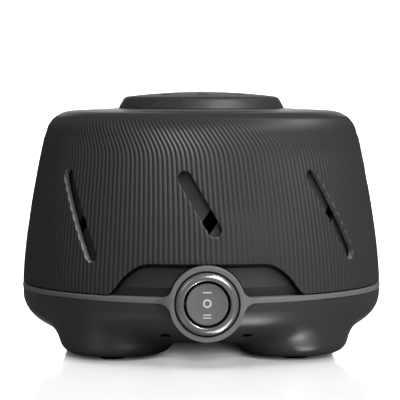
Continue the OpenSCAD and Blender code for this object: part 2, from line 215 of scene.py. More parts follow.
def wall_cutter(outline, radius_at, lip, depth, turn=0.0, centre=None):
    """A closed cutter through a round wall at the front: it follows the wall's face with a rounded lip, then runs straight in."""
    p = np.asarray(outline, float)
    n = outline_normals(p)
    rings = []
    steps = [(lip * 2.2, None)] + ([(lip * 2.2, -lip * 1.0)] if lip > 0 else [(0.0, -1.5)])
    if lip > 0:
        for a in (20, 42, 66, 90):
            t = math.radians(a)
            steps.append((lip * (1 - math.sin(t)), lip * (1 - math.cos(t))))
    steps.append((0.0, depth))
    for off, d in steps:
        q = p + n * off
        if d is None:
            y = np.full(len(q), -78.0)
        else:
            y = -np.sqrt(np.maximum(radius_at(q[:, 1]) ** 2 - q[:, 0] ** 2, 1.0)) + d
        rings.append(np.column_stack([q[:, 0], y, q[:, 1]]))
    m = len(p)
    verts = np.vstack(rings)
    faces = []
    for j in range(len(rings) - 1):
        for i in range(m):
            k = (i + 1) % m
            faces.append((j * m + i, j * m + k, (j + 1) * m + k, (j + 1) * m + i))
    c = np.array(centre if centre is not None else p.mean(0), float)
    for ring, flip in ((0, True), (len(rings) - 1, False)):
        y = rings[ring][:, 1]
        yc = y.min() if ring == 0 else y.max()
        ci = len(verts)
        verts = np.vstack([verts, [[c[0], yc, c[1]]]])
        for i in range(m):
            k = (i + 1) % m
            t = (ring * m + i, ring * m + k, ci)
            faces.append(t[::-1] if flip else t)
    a = math.radians(turn)
    rot = np.array([[math.cos(a), -math.sin(a), 0], [math.sin(a), math.cos(a), 0], [0, 0, 1]])
    return verts @ rot.T, faces


def prism(outline, y0, y1):
    """A straight prism along Y of an (x, z) outline."""
    p = np.asarray(outline, float)
    m = len(p)
    v = np.vstack([np.column_stack([p[:, 0], np.full(m, y0), p[:, 1]]), np.column_stack([p[:, 0], np.full(m, y1), p[:, 1]])])
    faces = [(i, (i + 1) % m, m + (i + 1) % m, m + i) for i in range(m)]
    faces += [tuple(range(m))[::-1], tuple(range(m, 2 * m))]
    return v, faces


def turned(part, deg):
    a = math.radians(deg)
    rot = np.array([[math.cos(a), -math.sin(a), 0], [math.sin(a), math.cos(a), 0], [0, 0, 1]])
    return np.asarray(part[0]) @ rot.T, part[1]


def moved(part, d):
    return np.asarray(part[0]) + np.array(d, float), part[1]


def barrel(r, y0, y1, z, n=96):
    a = np.arange(n) * 2 * math.pi / n
    return prism(np.column_stack([r * np.cos(a), z + r * np.sin(a)]), y0, y1)


# ---------------------------------------------------------------- materials
def nodes_of(mat):
    mat.use_nodes = True
    nt = mat.node_tree
    nt.nodes.clear()
    out = nt.nodes.new("ShaderNodeOutputMaterial")
    bsdf = nt.nodes.new("ShaderNodeBsdfPrincipled")
    nt.links.new(bsdf.outputs[0], out.inputs[0])
    return nt, bsdf


def coord(nt, scale=(1, 1, 1)):
    tc = nt.nodes.new("ShaderNodeTexCoord")
    mp = nt.nodes.new("ShaderNodeMapping")
    mp.inputs["Scale"].default_value = scale
    nt.links.new(tc.outputs["Object"], mp.inputs["Vector"])
    return mp.outputs["Vector"]


def noise(nt, vec, scale, detail=2.0, rough=0.5):
    n = nt.nodes.new("ShaderNodeTexNoise")
    n.inputs["Scale"].default_value = scale
    n.inputs["Detail"].default_value = detail
    n.inputs["Roughness"].default_value = rough
    nt.links.new(vec, n.inputs["Vector"])
    return n.outputs["Fac"]


def ramp(nt, fac, lo, hi, c0, c1):
    m = nt.nodes.new("ShaderNodeMapRange")
    m.inputs["From Min"].default_value = lo
    m.inputs["From Max"].default_value = hi
    m.inputs["To Min"].default_value = 0.0
    m.inputs["To Max"].default_value = 1.0
    nt.links.new(fac, m.inputs["Value"])
    x = nt.nodes.new("ShaderNodeMix")
    x.data_type = "RGBA"
    x.inputs["A"].default_value = (*c0, 1)
    x.inputs["B"].default_value = (*c1, 1)
    nt.links.new(m.outputs["Result"], x.inputs["Factor"])
    return x.outputs["Result"]


def remap(nt, fac, a, b, lo=0.3, hi=0.7):
    m = nt.nodes.new("ShaderNodeMapRange")
    m.inputs["From Min"].default_value = lo
    m.inputs["From Max"].default_value = hi
    m.inputs["To Min"].default_value = a
    m.inputs["To Max"].default_value = b
    nt.links.new(fac, m.inputs["Value"])
    return m.outputs["Result"]


def bump(nt, bsdf, height, strength, distance):
    b = nt.nodes.new("ShaderNodeBump")
    b.inputs["Strength"].default_value = strength
    b.inputs["Distance"].default_value = distance
    nt.links.new(height, b.inputs["Height"])
    nt.links.new(b.outputs["Normal"], bsdf.inputs["Normal"])


def grey(v, warm=0.0):
    return (v * (1 + warm), v, v * (1 - warm * 0.5 + 0.01))


def plastic(name, tone, rough, vary=0.12, grain=2600, grain_mm=0.02, strength=0.5, spec=0.5, specks=0.0, coat=0.0, ior=1.5):
    """Moulded plastic: slow tone drift, fine texture in bump and roughness, a few light specks."""
    mat = bpy.data.materials.new(name)
    nt, b = nodes_of(mat)
    v = coord(nt)
    drift = noise(nt, v, 35, 3)
    fine = noise(nt, v, grain, 3, 0.6)
    mix = nt.nodes.new("ShaderNodeMath")
    mix.operation = "MULTIPLY_ADD"
    mix.inputs[1].default_value = 0.55
    nt.links.new(fine, mix.inputs[0])
    half = nt.nodes.new("ShaderNodeMath")
    half.operation = "MULTIPLY"
    half.inputs[1].default_value = 0.45
    nt.links.new(drift, half.inputs[0])
    nt.links.new(half.outputs[0], mix.inputs[2])
    col = ramp(nt, mix.outputs[0], 0.35, 0.65, grey(tone * (1 - vary)), grey(tone * (1 + vary)))
    if specks > 0:
        sp = noise(nt, v, grain * 0.55, 1, 0.4)
        m = nt.nodes.new("ShaderNodeMix")
        m.data_type = "RGBA"
        nt.links.new(remap(nt, sp, 0.0, specks, 0.56, 0.74), m.inputs["Factor"])
        nt.links.new(col, m.inputs["A"])
        m.inputs["B"].default_value = (*grey(min(1.0, tone * 5)), 1)
        col = m.outputs["Result"]
    nt.links.new(col, b.inputs["Base Color"])
    nt.links.new(remap(nt, fine, rough * 0.9, min(1.0, rough * 1.12)), b.inputs["Roughness"])
    b.inputs["Specular IOR Level"].default_value = spec
    b.inputs["IOR"].default_value = ior
    b.inputs["Coat Weight"].default_value = coat
    bump(nt, b, fine, strength, grain_mm * MM)
    return mat


def metal(name, colour, rough, stripes=None, stripe_scale=900, brushed=True):
    """Metal with fine brushing, or sheets or windings as stripes along one axis."""
    mat = bpy.data.materials.new(name)
    nt, b = nodes_of(mat)
    sc = (1, 1, 1)
    if brushed and stripes is None:
        sc = (1, 1, 14)
    v = coord(nt, sc)
    fine = noise(nt, v, 600, 4, 0.6)
    c0 = tuple(c * 0.82 for c in colour)
    c1 = tuple(min(1.0, c * 1.1) for c in colour)
    h = fine
    if stripes is not None:
        w = nt.nodes.new("ShaderNodeTexWave")
        w.wave_type = "BANDS"
        w.bands_direction = stripes
        w.inputs["Scale"].default_value = stripe_scale
        w.inputs["Distortion"].default_value = 0.4
        nt.links.new(coord(nt), w.inputs["Vector"])
        h = w.outputs["Fac"]
        c0 = tuple(c * 0.5 for c in colour)
    col = ramp(nt, h, 0.2, 0.8, c0, c1)
    nt.links.new(col, b.inputs["Base Color"])
    nt.links.new(remap(nt, fine, rough * 0.8, min(1.0, rough * 1.25)), b.inputs["Roughness"])
    b.inputs["Metallic"].default_value = 1.0
    bump(nt, b, h, 0.35, 0.03 * MM)
    return mat


def fibre(name, tone):
    mat = bpy.data.materials.new(name)
    nt, b = nodes_of(mat)
    v = coord(nt, (1, 1, 3))
    f = noise(nt, v, 1500, 5, 0.75)
    nt.links.new(ramp(nt, f, 0.3, 0.7, grey(tone * 0.7), grey(tone)), b.inputs["Base Color"])
    nt.links.new(remap(nt, f, 0.85, 1.0), b.inputs["Roughness"])
    b.inputs["Sheen Weight"].default_value = 0.4
    bump(nt, b, f, 0.8, 0.12 * MM)
    return mat


def paint(name, tone):
    mat = bpy.data.materials.new(name)
    nt, b = nodes_of(mat)
    v = coord(nt)
    f = noise(nt, v, 4000, 3, 0.6)
    nt.links.new(ramp(nt, f, 0.3, 0.7, grey(tone * 0.9), grey(tone)), b.inputs["Base Color"])
    nt.links.new(remap(nt, f, 0.4, 0.55), b.inputs["Roughness"])
    bump(nt, b, f, 0.3, 0.006 * MM)
    return mat


def coloured(name, rgb, rough, grain=1800):
    mat = bpy.data.materials.new(name)
    nt, b = nodes_of(mat)
    v = coord(nt)
    f = noise(nt, v, grain, 3, 0.6)
    nt.links.new(ramp(nt, f, 0.3, 0.7, tuple(c * 0.85 for c in rgb), tuple(min(1, c * 1.08) for c in rgb)), b.inputs["Base Color"])
    nt.links.new(remap(nt, f, rough * 0.9, min(1.0, rough * 1.15)), b.inputs["Roughness"])
    bump(nt, b, f, 0.4, 0.02 * MM)
    return mat


M = {
    "collar": plastic("collar_satin", 0.027, 0.45, vary=0.08, grain=3200, grain_mm=0.012, strength=0.35, spec=0.42),
    # the flat ring round the cap: its paler tone is a painted sheen for its grazing reflection
    "rim": plastic("collar_rim_painted_sheen", 0.115, 0.42, vary=0.12, grain=2600, grain_mm=0.006, strength=0.3, spec=0.4),
    # the slots' walls: rough cut plastic, painted paler as painted light for the lit walls
    "cut": plastic("collar_cut_painted_light", 0.12, 0.6, vary=0.75, grain=1100, grain_mm=0.08, strength=0.9, spec=0.5),
    "housing": plastic("housing_satin", 0.022, 0.46, vary=0.08, grain=3000, grain_mm=0.012, strength=0.35, spec=0.42),
    "base": plastic("base_textured", 0.028, 0.37, vary=0.08, grain=3400, grain_mm=0.014, strength=0.4, spec=0.55),
    "cap": plastic("cap_textured", 0.026, 0.51, vary=0.2, grain=1900, grain_mm=0.03, strength=0.5, spec=0.45, specks=0.2),
    "trim": plastic("trim_satin", 0.138, 0.42, vary=0.06, grain=3400, grain_mm=0.01, strength=0.3, spec=0.45),
    "bezel": plastic("bezel_polished", 0.1, 0.21, vary=0.04, grain=2600, grain_mm=0.003, strength=0.04, spec=1.0, ior=2.1),
    "rocker": plastic("rocker_satin", 0.128, 0.38, vary=0.06, grain=3600, grain_mm=0.008, strength=0.3, spec=0.45),
    # black plastic of the switch body, also used as painted shade in the housing's groove, the trim's gap and round the
    # rocker
    "black": plastic("switch_black", 0.012, 0.4, vary=0.2, grain=2400, grain_mm=0.012, strength=0.4, spec=0.4),
    "rubber": plastic("rubber_black", 0.010, 0.75, vary=0.3, grain=1600, grain_mm=0.03, strength=0.6, spec=0.3),
    "mark": paint("mark_white", 0.66),
    "steel": metal("steel_zinc", (0.55, 0.56, 0.58), 0.35),
    "laminations": metal("steel_sheets", (0.32, 0.33, 0.35), 0.5, stripes="Z", stripe_scale=320),
    "copper": metal("copper_turns", (0.62, 0.3, 0.14), 0.32, stripes="X", stripe_scale=420),
    "brass": metal("brass_stamped", (0.75, 0.6, 0.3), 0.3),
    "bronze": metal("bronze_sintered", (0.55, 0.42, 0.24), 0.6, brushed=False),
    "nylon": coloured("nylon_natural", (0.62, 0.6, 0.54), 0.5),
    "fan": plastic("fan_dark", 0.03, 0.5, vary=0.15, grain=2200, grain_mm=0.02, strength=0.4, spec=0.4),
    "wire": coloured("wire_insulation", (0.45, 0.03, 0.025), 0.4),
    "felt": fibre("felt_grey", 0.4),
}

# ---------------------------------------------------------------- collar
def profile_normals(p):
    d = np.gradient(p, axis=0)
    d /= np.linalg.norm(d, axis=1)[:, None]
    return np.column_stack([d[:, 1], -d[:, 0]])


def twist(s):
    """How far a rib has turned at an arc length s above the collar's lower edge: upright low down, swirling at the shoulder."""
    s = np.minimum(s, 70.0)
    return -np.radians(0.00443 * np.maximum(0.0, s - 14.0) ** 1.6 + 0.816 * np.log1p(np.exp((s - 55.7) / 1.6)))


# the notch's right half, from its plateau down to below the collar's edge
NOTCH_HALF = [(21.0, 39.9), (22.4, 39.82), (23.8, 39.6), (25.1, 39.2), (26.4, 38.62), (27.7, 37.85), (29.1, 36.8), (30.6, 35.5), (32.0, 34.1),
              (33.2, 32.6), (34.3, 31.0), (35.2, 29.8), (36.2, 28.7), (37.4, 27.6), (38.8, 26.4), (40.4, 25.2)]


def trench(path, radius_at, out, into, d0, d1):
    """A closed cutter that runs along a path on a round wall, from d0 to d1 deep and out + into wide."""
    q = np.asarray(path, float)
    d = np.gradient(q, axis=0)
    d /= np.linalg.norm(d, axis=1)[:, None]
    n = np.column_stack([-d[:, 1], d[:, 0]])
    corners = []
    for off, deep in ((out, d0), (-into, d0), (-into, d1), (out, d1)):
        c = q + n * off
        corners.append(np.column_stack([c[:, 0], -np.sqrt(np.maximum(radius_at(c[:, 1]) ** 2 - c[:, 0] ** 2, 1.0)) + deep, c[:, 1]]))
    m = len(q)
    verts = np.stack(corners, 1).reshape(-1, 3)
    faces = [(4 * i + a, 4 * i + (a + 1) % 4, 4 * i + 4 + (a + 1) % 4, 4 * i + 4 + a) for i in range(m - 1) for a in range(4)]
    faces += [(3, 2, 1, 0), (4 * m - 4, 4 * m - 3, 4 * m - 2, 4 * m - 1)]
    return verts, faces


def make_collar():
    z = np.concatenate([[COLLAR_Z0 + 0.35], np.linspace(COLLAR_Z0 + 3, 76.0, 13), np.linspace(77.0, 85.6, 9)])
    side = np.column_stack([side_r(z), z])
    ang = np.radians(np.concatenate([np.arange(8, 44, 5.0), np.arange(45, 62, 1.6), [66, 71, 76, 82, 88]]))
    sh = np.column_stack([SH_R + SH_A * np.cos(ang), SH_Z + SH_B * np.sin(ang)])
    rr = np.array([50.0, 47.4, 45.2, 44.5, 44.3, 41.0, 37.5, 34.0, 30.6])
    flat = np.column_stack([rr, top_z(rr)])
    outer = np.vstack([side, sh, flat])
    nrm = profile_normals(outer)
    turn = twist(np.concatenate([[0.35], 0.35 + np.cumsum(np.hypot(*np.diff(outer, axis=0).T))]))
    # ribs run from the lower edge over the shoulder and die out just before the flat top
    amp = np.clip((94.75 - outer[:, 1]) / 0.9, 0, 1)
    amp = amp * amp * (3 - 2 * amp)
    per = 6
    n = RIBS * per
    th = np.arange(n) * 2 * math.pi / n - math.pi / 2
    wave = 0.5 - 0.5 * np.cos(RIBS * (th + math.pi / 2))
    shape = wave ** 1.5
    verts = []
    r0 = float(side_r(COLLAR_Z0))
    edge = [(r0 - 0.42, COLLAR_Z0), (r0 - 0.12, COLLAR_Z0 + 0.06)]
    for r, zz in edge:
        rr_ = r - RIB_DEPTH * 0.6 * shape
        verts.append(np.column_stack([rr_ * np.cos(th), rr_ * np.sin(th), np.full(n, zz)]))
    for (r, zz), (nr, nz), a, tw in zip(outer, nrm, amp, turn):
        d = -RIB_DEPTH * a * shape
        rr_ = r + nr * d
        verts.append(np.column_stack([rr_ * np.cos(th + tw), rr_ * np.sin(th + tw), zz + nz * d]))
    fine_rows = len(verts)
    v = np.vstack(verts)
    faces = []
    idx = np.arange(n)
    nxt = (idx + 1) % n
    for j in range(fine_rows - 1):
        a, b = j * n, (j + 1) * n
        faces.extend(zip((a + idx).tolist(), (a + nxt).tolist(), (b + nxt).tolist(), (b + idx).tolist()))
    # mouth and inner face, one column per rib
    wall = 2.4
    zi = np.linspace(85.6, COLLAR_Z0 + 0.3, 14)
    angi = np.radians([88, 76, 64, 52, 40, 28, 16])
    inner = [(MOUTH_R + 0.12, top_z(30.3) - 0.05), (MOUTH_R, top_z(30) - 0.4), (MOUTH_R, top_z(30, wall) + 0.1)]
    inner += [(44.0, float(top_z(44.0, wall)))]
    inner += [(SH_R + (SH_A - wall) * math.cos(a), SH_Z + (SH_B - wall) * math.sin(a)) for a in angi]
    inner += [(float(side_r(q)) - wall, q) for q in zi]
    inner += [(r0 - wall + 0.3, COLLAR_Z0)]
    tc = np.arange(RIBS) * 2 * math.pi / RIBS - math.pi / 2
    base = len(v)
    back = np.linspace(turn[-1], 0.0, len(inner))
    rows = [np.column_stack([r * np.cos(tc + t), r * np.sin(tc + t), np.full(RIBS, q)]) for (r, q), t in zip(inner, back)]
    v = np.vstack([v] + rows)
    for j in range(len(inner) - 1):
        a, b = base + j * RIBS, base + (j + 1) * RIBS
        for i in range(RIBS):
            k = (i + 1) % RIBS
            faces.append((a + i, a + k, b + k, b + i))

    def bridge(fine_at, coarse_at, flip):
        for i in range(RIBS):
            f0, c0, c1 = i * per, coarse_at + i, coarse_at + (i + 1) % RIBS
            tri = [(fine_at + (f0 + s) % n, fine_at + (f0 + s + 1) % n, c0 if s < per // 2 else c1) for s in range(per)]
            tri.append((fine_at + (f0 + per // 2) % n, c1, c0))
            faces.extend([t[::-1] for t in tri] if flip else tri)

    bridge((fine_rows - 1) * n, base, False)
    bridge(0, base + (len(inner) - 1) * RIBS, True)
    ob = make("collar_shell", v, outward(v, faces), (M["collar"], M["cut"], M["rim"]))
    hub = np.zeros(3 * len(ob.data.polygons))
    ob.data.polygons.foreach_get("center", hub)
    hub = hub.reshape(-1, 3) / MM
    # the flat ring round the cap takes the rim material, whose paler tone is a painted sheen
    rim = (np.hypot(hub[:, 0], hub[:, 1]) < 44.4) & (hub[:, 2] > 97.0)
    ob.data.polygons.foreach_set("material_index", np.where(rim, 2, 0).tolist())
    cut = [wall_cutter(stadium(5.5, 34.4, 30, 57.2, 0.2), side_r, 0.32, 13, 45 * k) for k in range(1, 8)]
    cut.append(wall_cutter(stadium(5.5, 22.6, 30, 62.35, -2.6), side_r, 0.32, 13))
    # the slots' walls take the cut material, painted paler to look lit
    boolean(ob, cut, index=1)
    half = np.array(NOTCH_HALF)
    left = half[::-1] * np.array([-1, 1])
    plateau = np.column_stack([np.linspace(-21.0, 21.0, 20)[1:-1], np.full(18, 39.9)])
    low = np.column_stack([np.linspace(-40.4, 40.4, 24)[1:-1], np.full(22, 24.6)])
    outline = np.vstack([half[::-1], plateau[::-1], left[::-1], low])  # right flank up, along the top, left flank down, back below
    boolean(ob, [wall_cutter(outline, side_r, 0.42, 12, centre=(0, 30.0))], index=0)
    return finish_shade(ob, 40)


# ---------------------------------------------------------------- inner housing
def make_housing():
    step, wall = 3.2, 2.0
    z = np.linspace(40, 86, 14)
    out = [(0.0, 27.2), (68.7, 27.2), (69.32, 30.5), (69.5, 30.8), (69.42, 31.3), (side_r(36.0) - step + 0.0, 36.0)]
    out += [(float(side_r(q)) - step, q) for q in z]
    out += [(SH_R + (SH_A - step) * math.cos(math.radians(a)), SH_Z + (SH_B - step) * math.sin(math.radians(a))) for a in range(8, 89, 8)]
    out += [(29.2, float(top_z(29.2, step)))]

    def crown(r, d):
        return 104.3 - d - 1.87 * (r / 30.1) ** 2

    out += rounded([(29.2, crown(29.2, 2.5))], [0]) + [(20.0, crown(20, 2.5)), (10.0, crown(10, 2.5)), (3.2, crown(3.2, 2.5)), (0.0, crown(3.2, 2.5))]
    z = np.linspace(86, 40, 8)
    inn = [(0.0, crown(3, 4.5)), (10.0, crown(10, 4.5)), (20.0, crown(20, 4.5)), (27.2, crown(29.2, 4.5)), (27.2, float(top_z(27.2, step + wall)))]
    inn += [(SH_R + (SH_A - step - wall) * math.cos(math.radians(a)), SH_Z + (SH_B - step - wall) * math.sin(math.radians(a))) for a in (88, 66, 44, 22)]
    inn += [(float(side_r(q)) - step - wall, q) for q in z]
    inn += [(67.3, 30.8), (66.6, 26.2), (0.0, 26.2)]
    v, f = revolved(out, 256)
    ob = make("housing_inner", v, outward(v, f), (M["housing"], M["black"]))
    boolean(ob, [revolved(inn, 128)])
    # boss for the cap's pin, columns for the plate, bosses for the screws
    add = [moved(revolved([(0, 0), (5.5, 0), (5.5, 101.4 - 93), (0, 101.4 - 93)], 48), (0, 0, 93))]
    for k in range(4):
        a = math.radians(22.5 + 90 * k)
        top = 92.0
        add.append(moved(revolved([(0, 50), (4, 50), (4, top), (0, top)], 32), (53.5 * math.cos(a), 53.5 * math.sin(a), 0)))
    for sx in (-1, 1):
        for sy in (-1, 1):
            add.append(moved(revolved([(0, 24), (5, 24), (5, 41), (0, 41)], 32), (36 * sx, 36 * sy, 0)))
    for k in range(4):
        p = prism([(50, 28.2), (68.0, 28.2), (68.3, 31.0), (66.9, 41.0), (50, 41.0)], -1, 1)
        add.append(turned(p, 45 + 90 * k))
    boolean(ob, add, "UNION")
    cut = [wall_cutter(stadium(4.8, 28, -35, 55, 0.9), lambda q: side_r(q) - step, 0.25, 12, 45 * k) for k in range(8)]
    cut.append(barrel(14.8, -90, -50, SWITCH_Z))
    boolean(ob, cut)
    cut = [moved(revolved([(0, 90), (3.1, 90), (3.1, 110), (0, 110)], 32), (0, 0, 0))]
    for sx in (-1, 1):
        for sy in (-1, 1):
            cut.append(moved(revolved([(0, 23), (1.75, 23), (1.75, 37), (0, 37)], 24), (36 * sx, 36 * sy, 0)))
    for k in range(4):
        a = math.radians(22.5 + 90 * k)
        cut.append(moved(revolved([(0, 49), (1.5, 49), (1.5, 65), (0, 65)], 24), (53.5 * math.cos(a), 53.5 * math.sin(a), 0)))
    cut += ports(14, 2.4, 22.5, 20, 98, 108) + ports(21.5, 2.4, 22.5, 14, 98, 108)
    boolean(ob, cut)
    # a groove just inside the collar's notch, so that the panel in it stands free; its walls take the black material as
    # painted shade for the deep gap
    half = np.array(NOTCH_HALF)
    top = np.column_stack([np.linspace(-21.0, 21.0, 22)[1:-1], np.full(20, 39.9)])
    path = np.vstack([half[::-1] * np.array([-1, 1]), top, half])
    boolean(ob, [trench(path, lambda q: side_r(q) - step, 1.4, 1.55, -1.5, 1.6)], index=1)
    return finish_shade(ob, 32)


def ports(r, w, first, span, z0, z1, lip=0.0, steps=10):
    """Arc-shaped ports with rounded ends, as upright cutters."""
    out = []
    for k in range(8):
        c = math.radians(first + 45 * k)
        h = math.radians(span / 2) - (w / 2) / r
        pts = []
        for t in np.linspace(-h, h, steps):
            pts.append(((r + w / 2) * math.cos(c + t), (r + w / 2) * math.sin(c + t)))
        e = (r * math.cos(c + h), r * math.sin(c + h))
        for a in np.linspace(0, math.pi, 9)[1:-1]:
            pts.append((e[0] + w / 2 * math.cos(c + h + a), e[1] + w / 2 * math.sin(c + h + a)))
        for t in np.linspace(h, -h, steps):
            pts.append(((r - w / 2) * math.cos(c + t), (r - w / 2) * math.sin(c + t)))
        e = (r * math.cos(c - h), r * math.sin(c - h))
        for a in np.linspace(math.pi, 2 * math.pi, 9)[1:-1]:
            pts.append((e[0] + w / 2 * math.cos(c - h + a), e[1] + w / 2 * math.sin(c - h + a)))
        p = np.array(pts)
        m = len(p)
        v = np.vstack([np.column_stack([p, np.full(m, z0)]), np.column_stack([p, np.full(m, z1)])])
        f = [(i, (i + 1) % m, m + (i + 1) % m, m + i) for i in range(m)]
        f += [tuple(range(m))[::-1], tuple(range(m, 2 * m))]
        out.append((v, f))
    return out


# ---------------------------------------------------------------- cap
def make_cap():
    def crown(r):
        return 104.3 - 1.87 * (r / 30.1) ** 2

    edge = [(31.0, 98.0), (33.82, 97.68), (31.3, 102.3), (28.9, crown(28.9))]
    prof = rounded(edge, [0.1, 0.2, 2.8, 0.0], 12)
    prof += [(r, crown(r)) for r in (27.0, 24.0, 20.0, 16.0, 12.0, 8.0, 4.0)] + [(0.0, crown(0))]
    prof += [(0.0, 90.9), (2.7, 90.9), (3.0, 91.2), (3.0, 91.4), (2.5, 91.4), (2.5, 92.4), (3.0, 92.4), (3.0, crown(3) - 2.2)]
    prof += [(r, crown(r) - 2.0) for r in (8.0, 14.0, 20.0, 26.0, 29.8)] + [(30.3, 100.3)]
    v, f = revolved(prof, 256)
    ob = make("cap_top", v, outward(v, f), (M["cap"], M["cut"]))
    boolean(ob, ports(14, 2.4, 0, 20, 98, 108) + ports(21.5, 2.4, 0, 14, 98, 108), index=0)
    return finish_shade(ob, 30)


# ---------------------------------------------------------------- base shell, from a smooth distance field
def bowl_d(r, z):
    a, b = 20.8, 15.0
    px, pz = np.maximum(r - 52.0, 0) + 1e-6, np.maximum(23.0 - z, 0) + 1e-6
    k0 = np.sqrt((px / a) ** 2 + (pz / b) ** 2)
    k1 = np.sqrt((px / a ** 2) ** 2 + (pz / b ** 2) ** 2)
    return k0 * (k0 - 1) / k1


def lobe_d(rho, z):
    px, pz = np.maximum(rho - 16.5, 0), np.maximum(7.5 - z, 0)
    return np.sqrt(px ** 2 + pz ** 2) + np.minimum(np.maximum(rho - 16.5, 7.5 - z), 0) - 5.0


def smooth_min(a, b, k):
    h = np.maximum(k - np.abs(a - b), 0) / k
    return np.minimum(a, b) - h * h * h * k / 6.0


def base_field(p):
    x, y, z = np.abs(p[..., 0]), np.abs(p[..., 1]), p[..., 2]
    r = np.sqrt(x * x + y * y)
    rho = np.sqrt((x - 34.7) ** 2 + (y - 34.7) ** 2)
    return smooth_min(bowl_d(r, z), lobe_d(rho, z), 12.0)


def surface_nets(field, lo, hi, h, newton=3):
    lo, hi = np.array(lo, float), np.array(hi, float)
    n = np.ceil((hi - lo) / h).astype(int) + 1
    ax = [lo[i] + h * np.arange(n[i]) for i in range(3)]
    grid = np.stack(np.meshgrid(*ax, indexing="ij"), -1)
    F = field(grid)
    inside = F < 0
    corner = np.zeros(tuple(np.array(F.shape) - 1), int)
    for i in (0, 1):
        for j in (0, 1):
            for k in (0, 1):
                corner += inside[i:F.shape[0] - 1 + i, j:F.shape[1] - 1 + j, k:F.shape[2] - 1 + k]
    active = (corner > 0) & (corner < 8)
    cells = np.argwhere(active)
    index = -np.ones(active.shape, int)
    index[active] = np.arange(len(cells))
    acc = np.zeros((len(cells), 3))
    cnt = np.zeros(len(cells))
    for axis in range(3):
        others = [a for a in range(3) if a != axis]
        for u in (0, 1):
            for w in (0, 1):
                o = np.zeros(3, int)
                o[others[0]], o[others[1]] = u, w
                q = o.copy()
                q[axis] = 1
                fa = F[tuple((cells + o).T)]
                fb = F[tuple((cells + q).T)]
                cross = (fa < 0) != (fb < 0)
                t = fa[cross] / (fa[cross] - fb[cross])
                pos = np.tile(o.astype(float), (cross.sum(), 1))
                pos[:, axis] = t
                acc[cross] += pos
                cnt[cross] += 1
    v = (cells + acc / cnt[:, None]) * h + lo
    quads = []
    for axis in range(3):
        b, c = (axis + 1) % 3, (axis + 2) % 3
        sl0 = [slice(None)] * 3
        sl1 = [slice(None)] * 3
        sl0[axis] = slice(0, -1)
        sl1[axis] = slice(1, None)
        a0, a1 = inside[tuple(sl0)], inside[tuple(sl1)]
        e = np.argwhere(a0 != a1)
        ok = (e[:, b] > 0) & (e[:, c] > 0) & (e[:, b] < F.shape[b] - 1) & (e[:, c] < F.shape[c] - 1)
        e = e[ok]
        out_first = a0[tuple(e.T)]

        def at(db, dc):
            q = e.copy()
            q[:, b] += db
            q[:, c] += dc
            return index[tuple(q.T)]

        q = np.column_stack([at(-1, -1), at(0, -1), at(0, 0), at(-1, 0)])
        q[~out_first] = q[~out_first][:, ::-1]
        quads.append(q)
    quads = np.vstack(quads)
    eps = 0.02
    for _ in range(newton):
        f0 = field(v)
        g = np.column_stack([(field(v + np.eye(3)[i] * eps) - field(v - np.eye(3)[i] * eps)) / (2 * eps) for i in range(3)])
        g2 = np.maximum((g ** 2).sum(1), 0.05)
        step = g * (f0 / g2)[:, None]
        size = np.linalg.norm(step, axis=1)
        step *= np.minimum(1.0, 0.4 * h / np.maximum(size, 1e-9))[:, None]
        v = v - step
    return v, quads.tolist()


def base_capped(p):
    return np.maximum(base_field(p), p[..., 2] - 29.0)


def base_inner(p):
    x, y, z = np.abs(p[..., 0]), np.abs(p[..., 1]), p[..., 2]
    pillar = np.maximum(np.sqrt((x - 36.0) ** 2 + (y - 36.0) ** 2) - 6.0, z - 24.0)
    return np.maximum(np.maximum(base_field(p) + 2.4, -pillar), z - 27.5)


def box(lo, hi):
    x0, y0, z0 = lo
    x1, y1, z1 = hi
    v = [(x0, y0, z0), (x1, y0, z0), (x1, y1, z0), (x0, y1, z0), (x0, y0, z1), (x1, y0, z1), (x1, y1, z1), (x0, y1, z1)]
    f = [(0, 3, 2, 1), (4, 5, 6, 7), (0, 1, 5, 4), (1, 2, 6, 5), (2, 3, 7, 6), (3, 0, 4, 7)]
    return np.array(v, float), f


def make_base_shell():
    v, f = surface_nets(base_capped, (-76.3, -76.3, 0.2), (76.3, 76.3, 31), 1.1)
    ob = make("base_bowl", v, outward(v, f), (M["base"],))
    vi, fi = surface_nets(base_inner, (-76.3, -76.3, 2.2), (76.3, 76.3, 29.6), 2.0)
    boolean(ob, [barrel(7.4, 60, 71.3, 17.0, 64)], "UNION")
    boolean(ob, [(vi, fi)])
    boolean(ob, [barrel(7.3, 66.4, 70, 17.0, 64)], "UNION")
    boolean(ob, [box((-80, -80, RIM_Z - 0.02), (80, 80, 40))])
    cut = [barrel(14.72, -90, -50, SWITCH_Z)]
    boolean(ob, [barrel(6.6, 71.3, 90, 17.0, 64)])
    boolean(ob, [barrel(6.4, 50, 66.4, 17.0, 64)])
    boolean(ob, [barrel(4.7, 50, 90, 17.0, 48)])
    for k in range(4):
        for s in (-1, 1):
            p = stadium(1.15, 2.7, 90, 12.3, 0.0, 8)
            cut.append(turned(prism(p, -80, -55), 90 * k + s * 13.6))
    for sx in (-1, 1):
        for sy in (-1, 1):
            cut.append(moved(revolved([(0, 1), (3.6, 1), (3.6, 10.5), (1.9, 10.5), (1.9, 30), (0, 30)], 32), (36 * sx, 36 * sy, 0)))
    boolean(ob, cut)
    return finish_shade(ob, 35)


# ---------------------------------------------------------------- trim band with the switch ring, one swept strip
UP = (17.67, 31.5)
DN = (18.28, 20.7)
FR = 4.3
RING_R = 14.5


def strip_top(x):
    x = abs(x)
    if x <= 13.634:
        return SWITCH_Z + math.sqrt(RING_R ** 2 - x * x), x / math.sqrt(RING_R ** 2 - x * x)
    if x < UP[0]:
        d = UP[0] - x
        h = math.sqrt(max(FR ** 2 - d * d, 1e-6))
        return UP[1] - h, d / h
    return RIM_Z + BAND_H, 0.0


def strip_bottom(x):
    x = abs(x)
    if x <= 14.1:
        return SWITCH_Z - math.sqrt(RING_R ** 2 - x * x), x / math.sqrt(RING_R ** 2 - x * x)
    if x < DN[0]:
        d = DN[0] - x
        h = math.sqrt(max(FR ** 2 - d * d, 1e-6))
        return DN[1] + h, d / h
    return RIM_Z, 0.0


